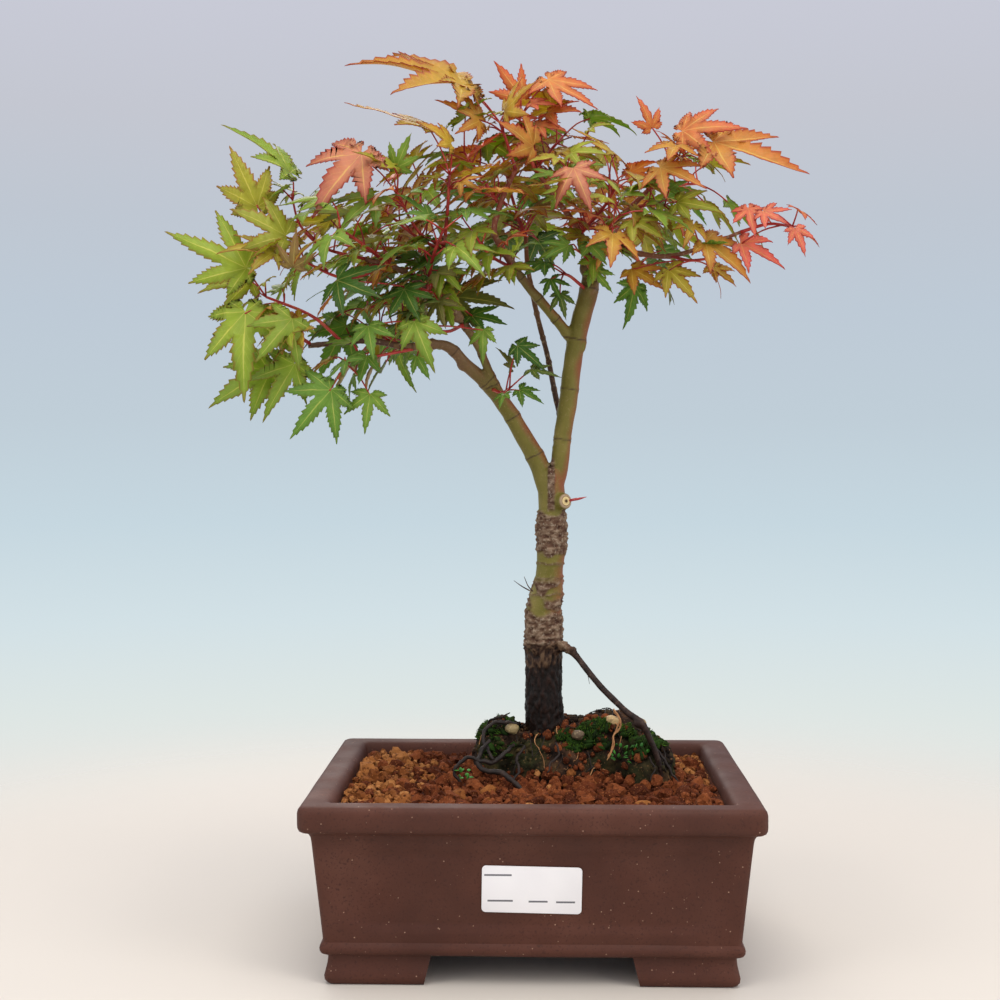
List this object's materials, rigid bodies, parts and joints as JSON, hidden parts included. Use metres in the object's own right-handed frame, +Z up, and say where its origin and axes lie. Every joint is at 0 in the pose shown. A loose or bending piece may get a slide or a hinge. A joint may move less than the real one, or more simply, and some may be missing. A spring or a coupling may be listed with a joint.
{
  "type": "bonsai tree in a pot",
  "caption": "Small forked maple tree with lobed leaves, growing in grit on a root mound in a footed rectangular unglazed clay pot.",
  "frame": {"origin": "middle of the bounding box in plan, on the plane that the pot's feet stand on", "axes": "+Z up along the tree; -Y is the pot's front with the label; +X to the right seen from the front"},
  "size_m": [0.3214, 0.2038, 0.4609],
  "materials": {
    "fired_clay": "unglazed, fine speckle, slight sheen",
    "plastic_net": "matte black net",
    "aluminium_wire": "dull",
    "akadama_grit": "rough porous grit, orange brown to ochre",
    "old_soil": "rough dark damp soil",
    "bark": "smooth green and grey bark, dark and damp at the base",
    "pebble_stone": "matte",
    "moss": "soft matte",
    "label_paper": "smooth white",
    "leaves_dark": "thin leaf, slight sheen",
    "leaves_green": "thin leaf, slight sheen",
    "leaves_lime": "thin leaf, slight sheen",
    "leaves_gold": "thin leaf, slight sheen",
    "leaves_orange": "thin leaf, slight sheen",
    "leaves_coral": "thin leaf, slight sheen"
  },
  "bodies": {
    "root": {"pot": "fired_clay", "drain_mesh_left": "plastic_net", "drain_mesh_right": "plastic_net", "mesh_wire_left": "aluminium_wire", "mesh_wire_right": "aluminium_wire", "soil_bed": "akadama_grit", "root_ball": "old_soil", "tree_wood": "bark", "pebble_left": "pebble_stone", "pebble_middle": "pebble_stone", "pebble_right": "pebble_stone", "pebble_end": "pebble_stone", "moss_left": "moss", "moss_front": "moss", "moss_right": "moss", "label": "label_paper", "crown_top_left": "leaves_gold", "crown_top_right": "leaves_orange", "crown_left": "leaves_gold", "crown_left_low": "leaves_lime", "left_top": "leaves_lime", "left_upper_outer": "leaves_lime", "left_outer": "leaves_lime", "left_mid": "leaves_green", "left_low": "leaves_green", "centre_low": "leaves_green", "centre_mid": "leaves_dark", "fork_shoot": "leaves_dark", "right_limb_shoot": "leaves_dark", "knuckle_shoot": "leaves_green", "right_top": "leaves_orange", "right_mid": "leaves_lime", "right_low": "leaves_gold", "right_outer": "leaves_coral", "crown_right": "leaves_lime", "inner_left": "leaves_lime", "inner_centre": "leaves_green", "inner_right": "leaves_lime", "inner_top": "leaves_gold", "centre_front": "leaves_green", "right_front": "leaves_lime", "back_left": "leaves_lime", "back_left_top": "leaves_gold", "back_centre": "leaves_green", "back_top": "leaves_gold", "back_right": "leaves_lime", "back_right_top": "leaves_orange", "right_back": "leaves_gold", "left_back_low": "leaves_green", "inner_left_low": "leaves_green", "left_inner_front": "leaves_green", "back_left_low": "leaves_green", "back_right_low": "leaves_green", "crown_back": "leaves_gold"}
  },
  "joints": []
}
